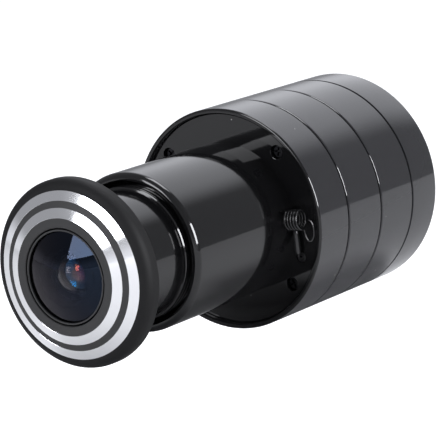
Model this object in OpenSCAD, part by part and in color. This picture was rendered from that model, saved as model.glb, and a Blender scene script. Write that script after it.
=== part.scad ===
// Peephole door camera: a turned body behind the door, a barrel through it,
// and a screw-in bezel with the lens.
// Lengths are in millimetres. The axis runs along Y with the lens toward -Y, and Z is up.
// The origin is on the axis, in the plane of the body's front rim, which meets the inside of the door.

/* [Body] */
// Outside diameter of the body
body_d = 36; // [34:0.5:44]
// Length of the body from its rim to its back face
body_len = 35.3; // [34:0.1:50]
// Thickness of the shell's wall
shell_wall = 1.8; // [1.5:0.1:2.2]
// Depth of the front plate below the rim
rim_recess = 0.9; // [0.5:0.1:1.5]
// Thickness of the rim around the front plate
rim_wall = 0.9; // [0.7:0.05:1.1]
// Rounding of the rim's outer edge
rim_round = 0.35; // [0.1:0.05:0.5]
// Chamfer on the rim's inner edge
rim_chamfer = 0.2; // [0.05:0.05:0.3]
// Width of the turned grooves
groove_w = 0.4; // [0.2:0.05:0.8]
// Depth of the turned grooves
groove_depth = 0.35; // [0.2:0.05:0.6]
// Distance from the rim to the first groove
groove_first = 8.2; // [6:0.1:9]
// Distance from one groove to the next
groove_step = 9.65; // [9:0.05:9.9]
// Radius of the screw columns inside the shell
boss_r = 1.7; // [1.5:0.1:1.8]
// Distance from the rim to the rear end of the screw columns
boss_reach = 16; // [15:0.5:17]
// Distance of the screws from the body's outside
screw_inset = 3; // [2.9:0.05:3.1]

/* [Front plate] */
// Thickness of the front plate
plate_t = 3; // [2.5:0.1:3.5]
// Width of the front plate around the sleeve
plate_w = 5.5; // [5.2:0.05:5.8]
// Diameter of the holes that sink the screw heads
head_hole_d = 2.2; // [2.1:0.05:2.6]
// Diameter of the screw heads
head_d = 2; // [1.8:0.05:2.05]
// Height of the screw heads
head_h = 1.1; // [0.8:0.1:1.3]
// Depth of the screw heads below the plate's face
head_sink = 0.6; // [0.3:0.1:0.8]
// Diameter of the screw shanks
shank_d = 1.3; // [1.1:0.05:1.4]
// Length of the plate screws under the head
plate_screw_len = 6.4; // [5:0.1:7]
// Width of the cross recess in a screw head
cross_w = 0.32; // [0.2:0.02:0.4]
// Length of the cross recess in a screw head
cross_len = 1.4; // [1:0.05:1.5]
// Depth of the cross recess in a screw head
cross_depth = 0.5; // [0.3:0.05:0.6]

/* [Barrel sleeve] */
// Length of the sleeve in front of the rim
sleeve_len = 24.9; // [23:0.1:26]
// Depth of the relief at the sleeve's foot
foot_relief = 0.2; // [0.16:0.02:0.3]
// Length of the relief in front of the rim
foot_len = 4; // [3.5:0.1:5]
// Thickness of the sleeve's wall
sleeve_wall = 1.95; // [1.8:0.05:2.2]
// Step of the counterbore in the sleeve's mouth
mouth_step = 0.75; // [0.5:0.05:0.9]
// Depth of the counterbore in the sleeve's mouth
mouth_depth = 1.6; // [1:0.1:2]
// Rounding of the sleeve's outer lip
lip_round = 0.6; // [0.3:0.05:0.8]
// Step from the sleeve to its tail, which goes through the plate
tail_step = 0.5; // [0.4:0.05:0.7]
// Width of the ring nut behind the plate
nut_w = 1; // [0.8:0.05:1.1]
// Gap from the ring nut to the screw columns
nut_gap = 0.25; // [0.2:0.05:0.3]
// Thickness of the ring nut
nut_t = 2; // [1.5:0.1:2.5]
// Number of spanner notches in the ring nut
nut_notches = 4; // [2:1:6]
// Width of a spanner notch
notch_w = 2; // [1.5:0.1:2.5]
// Width of the keyways in the sleeve's bore
keyway_w = 3.1; // [2.8:0.1:3.6]
// Depth of the keyways in the sleeve's bore
keyway_depth = 0.7; // [0.6:0.05:0.8]
// Length of the keyways past the lugs at full travel
keyway_spare = 0.6; // [0.3:0.1:1.5]
// Length of the sleeve's tail past the ring nut
tail_spare = 0.2; // [0.1:0.05:0.5]

/* [Front bezel] */
// Reach of the bezel's flange past the sleeve, which covers the hole in the door
flange_over = 1.9; // [1.7:0.1:2.5]
// Distance from the rim to the flange's back face, the thickness of the door
door_t = 36.8; // [36:0.1:40]
// Height of the flange's edge up to the coned face
flange_h = 2.9; // [2.5:0.1:3.2]
// Rounding of the flange's front edge
flange_round = 1.6; // [1.2:0.1:1.6]
// Rounding of the flange's back edge
flange_back_round = 0.3; // [0.1:0.05:0.5]
// Height of the coned face
cone_h = 1.4; // [1:0.1:1.8]
// Width of the flat ring around the lens window
flat_w = 1.47; // [1.2:0.01:1.6]
// Gap around the lens in its window
window_gap = 0.23; // [0.15:0.01:0.3]
// Share of the coned face's width that each trim ring takes
trim_share = 0.375; // [0.3:0.005:0.4]
// Depth of the trim rings below the coned face
trim_depth = 0.8; // [0.5:0.1:1]
// Gap from the thread's crests to the sleeve's bore
thread_play = 0.05; // [0.03:0.01:0.08]
// Height of the thread above the plain tube
thread_h = 0.4; // [0.3:0.05:0.5]
// Distance from the flange's back face to the thread
thread_from = 11.3; // [10:0.1:12]
// Chamfer at the ends of the thread
thread_chamfer = 0.4; // [0.2:0.05:0.4]
// Length of the tube behind the flange
tube_len = 27.8; // [27:0.1:28.5]
// Thickness of the tube's wall
tube_wall = 1.1; // [0.9:0.05:1.3]
// Thickness of the ring that keeps the lens carrier in the tube
carrier_ring_t = 2; // [1.5:0.1:2.5]
// Travel of the bezel along the axis, each way
travel = 10; // [5:0.5:10]
// Distance of the lens carrier's stop behind the flange's back face
stop_depth = 0.4; // [0.2:0.1:0.6]

/* [Lens] */
// Diameter of the lens head in the window
lens_head_d = 14.4; // [14:0.05:14.5]
// Diameter of the lens barrel's threaded body
lens_body_d = 12; // [11.5:0.1:12.2]
// Distance of the lens head's front below the bezel's front
lens_sink = 0.1; // [0.05:0.05:0.3]
// Thickness of the retaining ring at the front glass
retainer_t = 0.3; // [0.25:0.05:0.5]
// Gap from the retaining ring to the front glass's edge
retainer_gap = 0.1; // [0.07:0.01:0.15]
// Width of the retaining ring
retainer_w = 0.28; // [0.25:0.01:0.33]
// Thickness of the lens head's wall around the front glass
head_wall = 0.2; // [0.17:0.01:0.23]
// Height of the front glass at its edge
glass_edge_h = 2.4; // [2:0.1:2.6]
// Radius of the front glass's outer dome
dome_r = 16.57; // [14:0.01:18]
// Radius of the front glass's inner hollow
hollow_r = 4.3; // [4.1:0.1:4.6]
// Diameter of the hollow's edge
hollow_d = 7.5; // [7:0.1:7.6]
// Length of the lens barrel's threaded body
lens_body_len = 8.2; // [7.8:0.1:8.4]
// Diameter of the inner element
inner_d = 6.8; // [6.4:0.1:7]
// Height of the inner element at its edge
inner_edge_h = 2.1; // [1.8:0.1:2.3]
// Radius of the inner element's dome
inner_dome_r = 5.5; // [5:0.1:6.5]
// Depth of the inner element's seat below the front glass
inner_seat = 3.7; // [3.6:0.1:4.2]
// Diameter of the light stop behind the inner element
stop_d = 5.2; // [4.6:0.1:5.6]
// Diameter of the rear element
rear_d = 6; // [5.8:0.1:6.4]
// Height of the rear element's pocket
rear_h = 2; // [2:0.1:2.4]
// Height of the rear element at its edge
rear_edge_h = 1.1; // [0.8:0.1:1.2]
// Radius of the rear element's dome
rear_dome_r = 6; // [5:0.1:7]
// Diameter of the infrared filter
filter_d = 8.4; // [8:0.1:9]
// Thickness of the infrared filter
filter_t = 0.5; // [0.3:0.05:0.6]

/* [Lens carrier and sensor] */
// Gap around the lens carrier in the bezel's tube
carrier_play = 0.08; // [0.05:0.01:0.12]
// Gap from the lens to the light pocket behind it
lens_clear = 0.5; // [0.3:0.1:0.8]
// Width of the light pocket behind the lens
pocket_w = 9; // [8.8:0.1:9.4]
// Height of the light pocket behind the lens
pocket_h = 8.2; // [8:0.1:8.6]
// Depth of the light pocket
pocket_depth = 3.5; // [3:0.1:4]
// Thickness of the carrier's wall around its rear bore
carrier_shell = 0.92; // [0.8:0.02:1.1]
// Thickness of the sensor board
sensor_board_t = 1.2; // [0.8:0.1:1.6]
// Width of the image sensor
sensor_w = 7; // [6:0.1:8]
// Height of the image sensor
sensor_h = 6.4; // [5.5:0.1:7]
// Thickness of the image sensor
sensor_t = 1.2; // [0.8:0.1:1.4]
// Distance of the sensor screws from the carrier's wall
sensor_screw_inset = 1.7; // [1.5:0.1:1.8]
// Diameter of the sensor screws
sensor_screw_d = 1; // [0.8:0.05:1.1]
// Length of the sensor screws under the head
sensor_screw_len = 3.4; // [3:0.1:3.6]
// Diameter of the sensor screws' heads
sensor_head_d = 1.9; // [1.6:0.05:2]
// Height of the sensor screws' heads
sensor_head_h = 0.7; // [0.5:0.05:0.9]
// Length of the ribbon plug
plug_w = 7.4; // [7:0.1:8]
// Width of the ribbon plug
plug_d = 2.4; // [2:0.1:3]
// Height of the ribbon plug
plug_h = 1.4; // [1:0.1:1.8]
// Thickness of the key tube's wall
key_tube_wall = 1.1; // [0.9:0.1:1.2]
// Depth of the key tube in the carrier
key_tube_hold = 3.7; // [3:0.1:5]
// Gap from the bezel's rear end to the key lugs
lug_gap = 1.6; // [1:0.1:2]
// Thickness of the key lugs
lug_t = 2; // [1.5:0.1:2.2]
// Thickness of the ribbon
ribbon_t = 0.3; // [0.2:0.05:0.4]
// Width of the ribbon
ribbon_w = 6; // [5:0.2:7]
// Number of folds in the ribbon
ribbon_folds = 5; // [3:2:7]
// Length of the ribbon's straight end at the main board
ribbon_lead = 3; // [2:0.25:4]
// Gap from the key tube's rear end to the ribbon's first fold
ribbon_rise = 1; // [0.5:0.25:2]
// Reach of a ribbon fold to each side
fold_reach = 3; // [2:0.25:3.5]

/* [Boards] */
// Thickness of the main board and the socket board
board_t = 1.2; // [1:0.1:1.6]
// Gap around the main board
board_gap = 0.3; // [0.2:0.05:0.5]
// Diameter of the board screws' heads
board_head_d = 2.4; // [2:0.1:2.8]
// Height of the board screws' heads
board_head_h = 0.9; // [0.7:0.1:1.2]
// Length of the board screws under the head
board_screw_len = 4; // [3:0.1:4.5]
// Width of the processor
chip_w = 11; // [9:0.5:12]
// Distance of the processor and the radio's can from the middle of the board
chip_gap = 1; // [0.5:0.25:1.5]
// Height of the processor above the axis
chip_rise = 2; // [0:0.25:3]
// Thickness of the processor
chip_t = 1.3; // [1:0.1:1.6]
// Width of the radio's can
can_w = 9; // [8:0.5:10]
// Height of the radio's can across the board
can_l = 7; // [6:0.5:8]
// Thickness of the radio's can
can_t = 2; // [1.5:0.1:2.5]
// Width of the header between the boards
header_w = 10; // [8:0.5:12]
// Thickness of the header between the boards
header_d = 2.4; // [2:0.1:2.8]
// Distance of the header below the axis
header_drop = 8; // [8:0.25:9]

/* [Rear cover] */
// Thickness of the rear cover's back wall
cover_t = 2.2; // [1.8:0.1:2.6]
// Rounding of the rear cover's edge
cover_round = 0.8; // [0.4:0.1:1.4]
// Length of the rear cover's spigot in the shell
spigot_len = 4; // [3.5:0.1:5]
// Thickness of the spigot's wall
spigot_wall = 1.5; // [1.4:0.05:1.7]
// Cord diameter of the seal ring
seal_d = 1; // [0.8:0.05:1]
// Width of the seal groove beyond the cord
seal_room = 0.2; // [0.1:0.05:0.3]
// Distance from the seam to the seal groove
seal_from = 1.2; // [1:0.1:2]
// Distance of the socket board in front of the back wall
post_h = 2.9; // [2.8:0.05:3.2]
// Radius of the posts under the socket board
post_r = 1.7; // [1.5:0.1:2]
// Distance of the posts from the socket board's edge
post_inset = 3.85; // [3:0.05:4.2]
// Diameter of the socket board's screws
io_screw_d = 1; // [0.8:0.05:1.1]
// Length of the socket board's screws under the head
io_screw_len = 4; // [3.5:0.1:4.2]

/* [Power socket and reset button] */
// Width of the power socket's shell
socket_w = 7.5; // [7:0.1:8]
// Height of the power socket's shell
socket_h = 2.8; // [2.6:0.1:3]
// Slant of the power socket's lower corners
socket_slant = 0.9; // [0.6:0.1:1.1]
// Thickness of the power socket's sheet
socket_sheet = 0.25; // [0.2:0.05:0.3]
// Depth of the power socket's mouth
socket_depth = 3.5; // [3:0.1:3.8]
// Distance of the power socket's mouth below the back face
socket_sink = 0.6; // [0.4:0.1:1]
// Distance of the power socket below the axis
socket_drop = 4.5; // [3:0.25:5]
// Gap around the power socket in the cover
socket_gap = 0.2; // [0.1:0.05:0.3]
// Distance of the contact tongue below the power socket's mouth
tongue_sink = 0.5; // [0.3:0.1:1]
// Width of the contact tongue
tongue_w = 4.6; // [4:0.1:5]
// Thickness of the contact tongue
tongue_t = 0.7; // [0.5:0.05:0.8]
// Diameter of the reset button
button_d = 3.2; // [2.8:0.1:3.6]
// Diameter of the reset button's collar
button_collar_d = 4.6; // [4.2:0.1:5]
// Thickness of the reset button's collar
button_collar_t = 0.6; // [0.5:0.05:0.7]
// Distance of the reset button above the axis
button_rise = 6.5; // [6:0.25:7.5]
// Distance of the button's face below the back face
button_sink = 0.15; // [0.05:0.05:0.4]
// Travel of the reset button
button_travel = 0.3; // [0.2:0.05:0.35]
// Width of the reset switch
switch_w = 4.2; // [4:0.1:5]
// Depth of the reset switch
switch_d = 3.2; // [3:0.1:4]
// Height of the reset switch's case
switch_h = 1.6; // [1.2:0.1:1.7]
// Diameter of the reset switch's dome
switch_dome_d = 1.8; // [1.4:0.1:2]

/* [Antenna] */
// Diameter of the antenna's wire
wire_d = 0.24; // [0.2:0.01:0.26]
// Radius of the coil to the middle of the wire
coil_r = 1.5; // [1.3:0.05:1.6]
// Distance from one curl to the next
coil_pitch = 0.68; // [0.67:0.01:0.7]
// Number of curls
coil_turns = 3.75; // [2.75:1:3.75]
// Height of the coil's middle above the axis
coil_rise = 0.2; // [-0.2:0.1:0.5]
// Distance of the lead from the sleeve's foot
lead_gap = 0.68; // [0.65:0.01:0.8]
// Distance of the lead's foot below the axis
lead_drop = 6.2; // [6:0.1:6.6]
// Height of the lead above the front plate
lead_h = 0.7; // [0.65:0.05:0.9]
// Bend radius of the wire
bend_r = 0.6; // [0.5:0.05:0.65]
// Drop of the wire from the coil's last curl to the eye's bend
eye_drop = 0.5; // [0.4:0.05:0.7]
// Half width of the eye at the free end
eye_rx = 0.55; // [0.5:0.01:0.56]
// Half height of the eye at the free end
eye_ry = 1.3; // [1.1:0.05:1.4]
// Diameter of the shrink tube on the lead
shrink_d = 1; // [0.8:0.05:1.1]
// Length of the shrink tube
shrink_len = 3.8; // [3:0.1:4]
// Diameter of the bush in the plate
bush_d = 1.6; // [1.4:0.1:1.8]
// Diameter of the antenna socket on the main board
antenna_socket_d = 1.8; // [1.6:0.1:2.2]
// Height of the antenna socket
antenna_socket_h = 1.8; // [1.5:0.1:2.2]
// Thickness of the antenna socket's floor
antenna_floor = 0.6; // [0.4:0.1:0.9]

/* [Fits] */
// Gap around round pieces that sit in one another
seat_gap = 0.05; // [0.03:0.01:0.08]
// End play of the lens carrier in the bezel
end_play = 0.2; // [0.1:0.05:0.3]
// Gap around the antenna's wire in its bush and tube
wire_gap = 0.07; // [0.05:0.01:0.1]
// Side gap of the key lugs in the keyways
lug_play = 0.1; // [0.05:0.01:0.12]

/* [Hidden] */
$fn = 96;
wire_sides = 6;
rings_per_curl = 8;
bend_steps = 5;
eye_steps = 14;
eye_sweep = 255;
far_run = 3;
arc_steps = 8;
cut_past = 1;
body_r = body_d / 2;
plate_z = -rim_recess;
plate_back = plate_z - plate_t;
plate_seat_r = body_r - rim_wall;
shell_bore_r = body_r - shell_wall;
seam = groove_first + 2 * groove_step;
shell_end = -(seam - groove_w / 2);
cover_front = -(seam + groove_w / 2);
back_z = -body_len;
boss_end = -boss_reach;
screw_r = body_r - screw_inset;
head_seat = plate_z - head_sink - head_h;
pilot_r = shank_d / 2 + seat_gap;
tail_end = plate_back - nut_t - tail_spare;
sleeve_r = body_r - plate_w;
foot_r = sleeve_r - foot_relief;
tail_r = sleeve_r - tail_step;
nut_r = tail_r + nut_w;
sleeve_bore_r = sleeve_r - sleeve_wall;
mouth_r = sleeve_bore_r + mouth_step;
keyway_r = sleeve_bore_r + keyway_depth;
thread_r = sleeve_bore_r - thread_play;
tube_r = thread_r - thread_h;
tube_bore_r = tube_r - tube_wall;
flange_r = sleeve_r + flange_over;
cone_r = flange_r - flange_round;
lens_head_r = lens_head_d / 2;
window_r = lens_head_r + window_gap;
flat_r = window_r + flat_w;
trim_w = trim_share * (cone_r - flat_r);
glass_r = lens_head_r - head_wall;
cone_z = door_t + flange_h;
face_z = cone_z + cone_h;
tube_end = door_t - tube_len;
thread_z = door_t - thread_from;
ring_front = tube_end + carrier_ring_t;
carrier_rear = ring_front + end_play;
head_top = face_z - lens_sink;
glass_edge = head_top - retainer_t - retainer_gap;
glass_seat = glass_edge - glass_edge_h;
dome_z = glass_edge - sqrt(dome_r * dome_r - glass_r * glass_r);
hollow_z = glass_seat - sqrt(hollow_r * hollow_r - hollow_d * hollow_d / 4);
shoulder_z = door_t - stop_depth;
carrier_front = shoulder_z - end_play;
lens_end = carrier_front - lens_body_len;
inner_seat_z = glass_seat - inner_seat;
inner_dome_z = inner_seat_z + inner_edge_h - sqrt(inner_dome_r * inner_dome_r - inner_d * inner_d / 4);
filter_front = lens_end + filter_t;
rear_top = filter_front + rear_h;
rear_dome_z = filter_front + rear_edge_h - sqrt(rear_dome_r * rear_dome_r - rear_d * rear_d / 4);
pocket_top = lens_end - lens_clear;
carrier_r = tube_bore_r - carrier_play;
carrier_bore_r = carrier_r - carrier_shell;
sensor_screw_x = carrier_bore_r - sensor_screw_inset;
board_seat = pocket_top - pocket_depth;
sensor_back = board_seat - sensor_board_t;
sensor_hole_r = sensor_screw_d / 2 + seat_gap;
key_front = carrier_rear + key_tube_hold;
lug_front = tube_end - lug_gap;
lug_back = lug_front - lug_t;
lug_x = keyway_r - lug_play;
key_tube_r = carrier_bore_r - seat_gap;
keyway_top = lug_front + travel + keyway_spare;
main_back = boss_end - board_t;
spigot_r = shell_bore_r - seat_gap;
cover_bore_r = spigot_r - spigot_wall;
cover_floor = back_z + cover_t;
io_back = cover_floor + post_h;
io_front = io_back + board_t;
io_r = cover_bore_r - board_gap;
post_x = io_r - post_inset;
io_pilot_r = io_screw_d / 2 + seat_gap;
socket_end = back_z + socket_sink;
socket_floor = socket_end + socket_depth;
button_r = button_d / 2;
button_face = back_z + button_sink;
collar_back = cover_floor + seat_gap;
collar_front = collar_back + button_collar_t;
switch_top = collar_front + button_travel + seat_gap;
wire_r = wire_d / 2;
wire_hole_r = wire_r + wire_gap;
lead_x = foot_r + lead_gap;
lead_z = plate_z + lead_h;
coil_z = lead_z + coil_r;
lead_foot = boss_end + antenna_floor;
coil_end_x = lead_x + coil_turns * coil_pitch;
coil_end_y = coil_rise - coil_r;
eye_drop_z = coil_z - eye_drop;
eye_z = eye_drop_z - bend_r;
eye_y = coil_end_y - bend_r;

// Shared forms

// Turns the working frame, whose Z is the optical axis, into the part's frame
module on_axis() {
    rotate([90, 0, 0]) children();
}

// Turned piece from a half section given as radius and height
module turned(section) {
    rotate_extrude() polygon(section);
}

// Rod from one height up to another
module rod(r, from, to) {
    translate([0, 0, from]) cylinder(r = r, h = to - from);
}

// Block centred across, from one height up to another
module block(w, d, from, to) {
    translate([-w / 2, -d / 2, from]) cube([w, d, to - from]);
}

// Children at the four screw columns, or at two opposite ones
module at_columns(step) {
    for (a = [45 : step : 359]) rotate([0, 0, a]) translate([screw_r, 0, 0]) children();
}

function arc(c, r, a0, a1) = [for (i = [0 : arc_steps])
    let (a = a0 + (a1 - a0) * i / arc_steps) c + r * [cos(a), sin(a)]];

function groove(at) = [[body_r, -at - groove_w / 2], [body_r - groove_depth, -at - groove_w / 2],
    [body_r - groove_depth, -at + groove_w / 2], [body_r, -at + groove_w / 2]];

function cone_at(r) = cone_z + cone_h * (cone_r - r) / (cone_r - flat_r);

function trim(r0, r1) = [[r0, cone_at(r0)], [r0, cone_at(r1) - trim_depth],
    [r1, cone_at(r1) - trim_depth], [r1, cone_at(r1)]];

// Body behind the door

module body_shell() {
    color("#17181a") on_axis() difference() {
        union() {
            turned(concat(
                [[shell_bore_r, shell_end], [body_r, shell_end]],
                groove(groove_first + groove_step),
                groove(groove_first),
                arc([body_r - rim_round, -rim_round], rim_round, 0, 90),
                [[plate_seat_r + rim_chamfer, 0], [plate_seat_r, -rim_chamfer]],
                [[plate_seat_r, plate_back], [shell_bore_r, plate_back]]));
            at_columns(90) rod(boss_r, boss_end, plate_back);
        }
        at_columns(90) rod(pilot_r, boss_end - cut_past, plate_back + cut_past);
        rod(nut_r + nut_gap, plate_back - nut_t - nut_gap, plate_back);
    }
}

module front_plate() {
    color("#101113") on_axis() difference() {
        rod(plate_seat_r - seat_gap, plate_back, plate_z);
        rod(tail_r + seat_gap, plate_back - cut_past, plate_z + cut_past);
        at_columns(90) rod(head_hole_d / 2, head_seat, plate_z + cut_past);
        at_columns(90) rod(pilot_r, plate_back - cut_past, head_seat + cut_past);
        translate([lead_x, -lead_drop, 0])
            rod(bush_d / 2 + seat_gap, plate_back - cut_past, plate_z + cut_past);
    }
}

module plate_screws() {
    color("#8d9094") on_axis() at_columns(90) difference() {
        union() {
            rod(head_d / 2, head_seat, head_seat + head_h);
            rod(shank_d / 2, head_seat - plate_screw_len, head_seat);
        }
        block(cross_w, cross_len, head_seat + head_h - cross_depth, head_seat + head_h + cut_past);
        block(cross_len, cross_w, head_seat + head_h - cross_depth, head_seat + head_h + cut_past);
    }
}

module barrel_sleeve() {
    color("#17181a") on_axis() difference() {
        turned(concat(
            [[sleeve_bore_r, tail_end], [tail_r, tail_end], [tail_r, plate_z], [foot_r, plate_z]],
            [[foot_r, foot_len], [sleeve_r, foot_len]],
            arc([sleeve_r - lip_round, sleeve_len - lip_round], lip_round, 0, 90),
            [[mouth_r, sleeve_len], [mouth_r, sleeve_len - mouth_depth]],
            [[sleeve_bore_r, sleeve_len - mouth_depth - (mouth_r - sleeve_bore_r)]]));
        block(keyway_r * 2, keyway_w, tail_end - cut_past, keyway_top);
    }
}

module sleeve_nut() {
    color("#77797d") on_axis() difference() {
        rod(nut_r, plate_back - nut_t, plate_back);
        rod(tail_r + seat_gap, plate_back - nut_t - cut_past, plate_back + cut_past);
        for (a = [0 : 360 / nut_notches : 359]) rotate([0, 0, a]) translate([nut_r, 0, 0])
            block(nut_r - tail_r, notch_w, plate_back - nut_t - cut_past, plate_back - nut_t / 2);
    }
}

// Bezel that screws into the sleeve

module front_bezel() {
    color("#232427") on_axis() difference() {
        turned(concat(
            [[tube_bore_r, tube_end], [thread_r - thread_chamfer, tube_end]],
            [[thread_r, tube_end + thread_chamfer]],
            [[thread_r, thread_z - thread_chamfer], [tube_r, thread_z], [tube_r, door_t]],
            arc([flange_r - flange_back_round, door_t + flange_back_round], flange_back_round, -90, 0),
            arc([flange_r - flange_round, cone_z - flange_round], flange_round, 0, 90),
            [[cone_r, cone_z], [flat_r, face_z], [window_r, face_z]],
            [[window_r, shoulder_z], [tube_bore_r, shoulder_z]]));
        turned(concat(
            trim(cone_r - trim_w, cone_r),
            [[cone_r, face_z], [cone_r - trim_w, face_z]]));
        turned(concat(
            trim(flat_r, flat_r + trim_w),
            [[flat_r + trim_w, face_z + cut_past], [flat_r, face_z + cut_past]]));
    }
}

module outer_trim_ring() {
    color("#d8dadd") on_axis() turned(trim(cone_r - trim_w, cone_r));
}

module inner_trim_ring() {
    color("#d8dadd") on_axis() turned(trim(flat_r, flat_r + trim_w));
}

module carrier_ring() {
    color("#3a3b3e") on_axis() difference() {
        rod(tube_bore_r - seat_gap, tube_end, ring_front);
        rod(key_tube_r + lug_play, tube_end - cut_past, ring_front + cut_past);
    }
}

// Lens

module lens_front_glass() {
    color("#1c1a2a") on_axis() difference() {
        intersection() {
            rod(glass_r, glass_seat, glass_seat + dome_r);
            translate([0, 0, dome_z]) sphere(r = dome_r);
        }
        translate([0, 0, hollow_z]) sphere(r = hollow_r);
    }
}

module lens_retaining_ring() {
    color("#1a1a1c") on_axis() difference() {
        rod(lens_head_r, head_top - retainer_t, head_top);
        rod(lens_head_r - retainer_w, head_top - retainer_t - cut_past, head_top + cut_past);
    }
}

module lens_barrel() {
    color("#1a1a1c") on_axis() difference() {
        union() {
            rod(lens_head_r, carrier_front, head_top - retainer_t);
            rod(lens_body_d / 2, lens_end, carrier_front);
        }
        rod(glass_r + seat_gap, glass_seat, head_top);
        rod(inner_d / 2 + seat_gap, inner_seat_z, glass_seat + cut_past);
        rod(stop_d / 2, lens_end - cut_past, glass_seat);
        rod(rear_d / 2 + seat_gap, lens_end - cut_past, rear_top);
        rod(filter_d / 2 + seat_gap, lens_end - cut_past, filter_front);
    }
}

module lens_inner_element() {
    color("#2a2740") on_axis() intersection() {
        rod(inner_d / 2, inner_seat_z, inner_seat_z + inner_dome_r);
        translate([0, 0, inner_dome_z]) sphere(r = inner_dome_r);
    }
}

module lens_rear_element() {
    color("#2a2740") on_axis() intersection() {
        rod(rear_d / 2, filter_front, filter_front + rear_dome_r);
        translate([0, 0, rear_dome_z]) sphere(r = rear_dome_r);
    }
}

module infrared_filter() {
    color("#6b3a44") on_axis() rod(filter_d / 2, lens_end, filter_front);
}

// Lens carrier, which slides with the bezel and is kept from turning

module lens_carrier() {
    color("#2b2c2f") on_axis() difference() {
        rod(carrier_r, carrier_rear, carrier_front);
        rod(lens_body_d / 2 + seat_gap, pocket_top, carrier_front + cut_past);
        block(pocket_w, pocket_h, board_seat - cut_past, pocket_top + cut_past);
        rod(carrier_bore_r, carrier_rear - cut_past, board_seat);
        for (s = [-1, 1]) translate([s * sensor_screw_x, 0, 0])
            rod(sensor_hole_r, board_seat - cut_past, sensor_back + sensor_screw_len + seat_gap);
    }
}

module key_tube() {
    color("#3a3b3e") on_axis() difference() {
        union() {
            rod(key_tube_r, lug_back, key_front);
            block(lug_x * 2, keyway_w - lug_play * 2, lug_back, lug_front);
        }
        rod(key_tube_r - key_tube_wall, lug_back - cut_past, key_front + cut_past);
    }
}

module sensor_board() {
    color("#1f5b3a") on_axis() difference() {
        rod(carrier_bore_r - seat_gap, sensor_back, board_seat);
        for (s = [-1, 1]) translate([s * sensor_screw_x, 0, 0])
            rod(sensor_hole_r, sensor_back - cut_past, board_seat + cut_past);
    }
}

module image_sensor() {
    color("#26262b") on_axis() block(sensor_w, sensor_h, board_seat, board_seat + sensor_t);
}

module sensor_screws() {
    color("#8d9094") on_axis() for (s = [-1, 1]) translate([s * sensor_screw_x, 0, 0]) {
        rod(sensor_head_d / 2, sensor_back - sensor_head_h, sensor_back);
        rod(sensor_screw_d / 2, sensor_back, sensor_back + sensor_screw_len);
    }
}

module sensor_plug() {
    color("#d9d4c4") on_axis() block(plug_w, plug_d, sensor_back - plug_h, sensor_back);
}

// Ribbon from the sensor board to the main board, folded so that it can follow the bezel

ribbon_top = sensor_back - plug_h;
ribbon_end = boss_end + plug_h;
fold_top = lug_back + ribbon_rise;
fold_step = (fold_top - ribbon_end - ribbon_lead) / (ribbon_folds + 1);
ribbon_path = concat([[0, ribbon_top], [0, fold_top]],
    [for (i = [1 : ribbon_folds]) [(i % 2 == 0 ? -1 : 1) * fold_reach, fold_top - i * fold_step]],
    [[0, fold_top - (ribbon_folds + 1) * fold_step], [0, ribbon_end]]);

function side(p) = [for (i = [0 : len(p) - 1])
    let (u = unit(p[max(i, 1)] - p[max(i, 1) - 1]),
        v = unit(p[min(i, len(p) - 2) + 1] - p[min(i, len(p) - 2)]),
        m = unit([-u[1] - v[1], u[0] + v[0]]))
    m / (m * [-u[1], u[0]])];

module sensor_ribbon() {
    away = side(ribbon_path);
    last = len(ribbon_path) - 1;
    color("#b5772f") on_axis() rotate([90, 0, 90]) translate([0, 0, -ribbon_w / 2]) linear_extrude(ribbon_w)
        polygon(concat(
            [for (i = [0 : last]) ribbon_path[i] + away[i] * ribbon_t / 2],
            [for (i = [0 : last]) ribbon_path[last - i] - away[last - i] * ribbon_t / 2]));
}

// Boards in the body

module main_board() {
    color("#1f5b3a") on_axis() difference() {
        rod(shell_bore_r - board_gap, main_back, boss_end);
        at_columns(180) rod(pilot_r, main_back - cut_past, boss_end + cut_past);
    }
}

module board_screws() {
    color("#8d9094") on_axis() at_columns(180) {
        rod(board_head_d / 2, main_back - board_head_h, main_back);
        rod(shank_d / 2, main_back, main_back + board_screw_len);
    }
}

module processor() {
    color("#26262b") on_axis() translate([-chip_w / 2 - chip_gap, chip_rise, 0])
        block(chip_w, chip_w, main_back - chip_t, main_back);
}

module radio_can() {
    color("#b9bcc0") on_axis() translate([can_w / 2 + chip_gap, 0, 0])
        block(can_w, can_l, main_back - can_t, main_back);
}

module ribbon_socket() {
    color("#d9d4c4") on_axis() block(plug_w, plug_d, boss_end, ribbon_end);
}

module antenna_socket() {
    color("#c9a24a") on_axis() translate([lead_x, -lead_drop, 0]) difference() {
        rod(antenna_socket_d / 2, boss_end, boss_end + antenna_socket_h);
        rod(wire_hole_r, lead_foot, boss_end + antenna_socket_h + cut_past);
    }
}

module board_header() {
    color("#1a1a1c") on_axis() translate([0, -header_drop, 0]) block(header_w, header_d, io_front, main_back);
}

module socket_board() {
    color("#1f5b3a") on_axis() difference() {
        rod(io_r, io_back, io_front);
        for (s = [-1, 1]) translate([s * post_x, 0, 0])
            rod(io_pilot_r, io_back - cut_past, io_front + cut_past);
    }
}

module socket_screws() {
    color("#8d9094") on_axis() for (s = [-1, 1]) translate([s * post_x, 0, 0]) {
        rod(board_head_d / 2, io_front, io_front + board_head_h);
        rod(io_screw_d / 2, io_front - io_screw_len, io_front);
    }
}

// Power socket, reset switch and button

// Socket outline with two slanted lower corners, widened by a gap
module socket_outline(grow) {
    w = socket_w / 2 + grow;
    h = socket_h / 2 + grow;
    polygon([[-w, h], [-w, socket_slant - h], [socket_slant - w, -h], [w - socket_slant, -h],
        [w, socket_slant - h], [w, h]]);
}

module power_socket() {
    color("#b9bcc0") on_axis() translate([0, -socket_drop, 0]) difference() {
        translate([0, 0, socket_end]) linear_extrude(io_back - socket_end) socket_outline(0);
        translate([0, 0, socket_end - cut_past]) linear_extrude(socket_depth + cut_past)
            socket_outline(-socket_sheet);
    }
}

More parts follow.
